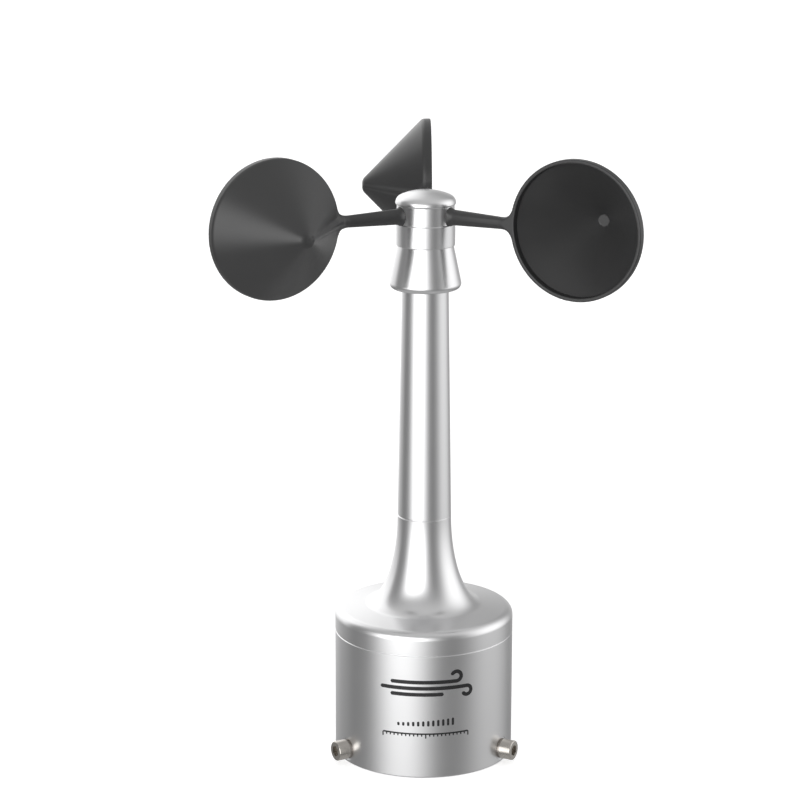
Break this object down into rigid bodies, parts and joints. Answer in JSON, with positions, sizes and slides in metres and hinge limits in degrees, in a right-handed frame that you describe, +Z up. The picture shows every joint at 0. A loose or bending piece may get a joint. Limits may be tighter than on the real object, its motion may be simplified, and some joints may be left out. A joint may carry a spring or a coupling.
{
  "type": "cup anemometer",
  "caption": "Mast-mounted wind speed sensor: conical cups on a ball-bearing rotor above a slim tapered column, with a slotted-disc light gate in the cylindrical base.",
  "frame": {"origin": "on the rotor's turning axis, in the plane of the base's lower face, at the mouth of the mast socket", "axes": "+Z up along the turning axis; -Y is the front, midway between two clamp screws; +X to the right seen from the front"},
  "size_m": [0.2047, 0.1865, 0.3114],
  "materials": {
    "anodised_housing": "bead-blasted and clear anodised",
    "anodised_rotor": "bead-blasted and clear anodised",
    "plain_aluminium": "turned",
    "stainless": "turned stainless steel",
    "spring_steel": "phosphated spring steel",
    "bearing_steel": "ground and polished",
    "disc_steel": "etched sheet",
    "cage_brass": "stamped",
    "seal_rubber": "smooth",
    "nickel_plate": "satin nickel plate",
    "gold_plate": "gold flash",
    "black_plastic": "moulded",
    "green_plastic": "moulded",
    "lead_insulation": "extruded",
    "board_laminate": "solder mask",
    "capacitor_can": "drawn can",
    "cup_plastic": "moulded, fibre filled, fine satin grain"
  },
  "bodies": {
    "stator": {"base_housing": "anodised_housing", "bell_housing": "anodised_housing", "column_tube": "anodised_housing", "clamp_screws": "stainless", "lock_washers": "stainless", "plate_screws": "stainless", "board_screws": "stainless", "board_standoffs": "nickel_plate", "bearing_circlips": "spring_steel", "preload_spring": "spring_steel", "housing_o_ring": "seal_rubber", "column_o_ring": "seal_rubber", "connector_gasket": "seal_rubber", "connector_plate": "anodised_housing", "connector_shell": "nickel_plate", "connector_nut": "nickel_plate", "connector_insert": "black_plastic", "connector_pins": "gold_plate", "connector_leads": "lead_insulation", "circuit_board": "board_laminate", "light_gate": "black_plastic", "driver_chip": "black_plastic", "smoothing_capacitor": "capacitor_can", "terminal_block": "green_plastic", "upper_bearing_outer_race": "bearing_steel", "upper_bearing_shields": "disc_steel", "lower_bearing_outer_race": "bearing_steel", "lower_bearing_shields": "disc_steel"},
    "rotor": {"shaft": "stainless", "shaft_circlips": "spring_steel", "drive_pin": "stainless", "rotor_skirt": "anodised_rotor", "arm_hub": "anodised_rotor", "arm_pins": "stainless", "cap_nut": "anodised_rotor", "cup_1": "cup_plastic", "cup_2": "cup_plastic", "cup_3": "cup_plastic", "chopper_disc": "disc_steel", "disc_hub": "plain_aluminium", "disc_screw": "stainless", "upper_bearing_inner_race": "bearing_steel", "lower_bearing_inner_race": "bearing_steel"},
    "upper_ball_set": {"upper_bearing_cage": "cage_brass", "upper_bearing_balls": "bearing_steel"},
    "lower_ball_set": {"lower_bearing_cage": "cage_brass", "lower_bearing_balls": "bearing_steel"}
  },
  "joints": [
    {"name": "rotor_spin", "type": "hinge", "parent": "stator", "child": "rotor", "pos_m": [0, 0, 0], "axis": [0, 0, 1], "continuous": true},
    {"name": "upper_balls_orbit", "type": "hinge", "parent": "stator", "child": "upper_ball_set", "pos_m": [0, 0, 0.2535], "axis": [0, 0, 1], "continuous": true},
    {"name": "lower_balls_orbit", "type": "hinge", "parent": "stator", "child": "lower_ball_set", "pos_m": [0, 0, 0.1055], "axis": [0, 0, 1], "continuous": true}
  ],
  "couplings": [
    {"joint": "upper_balls_orbit", "follows": "rotor_spin", "ratio": 0.4208},
    {"joint": "lower_balls_orbit", "follows": "rotor_spin", "ratio": 0.4208}
  ]
}
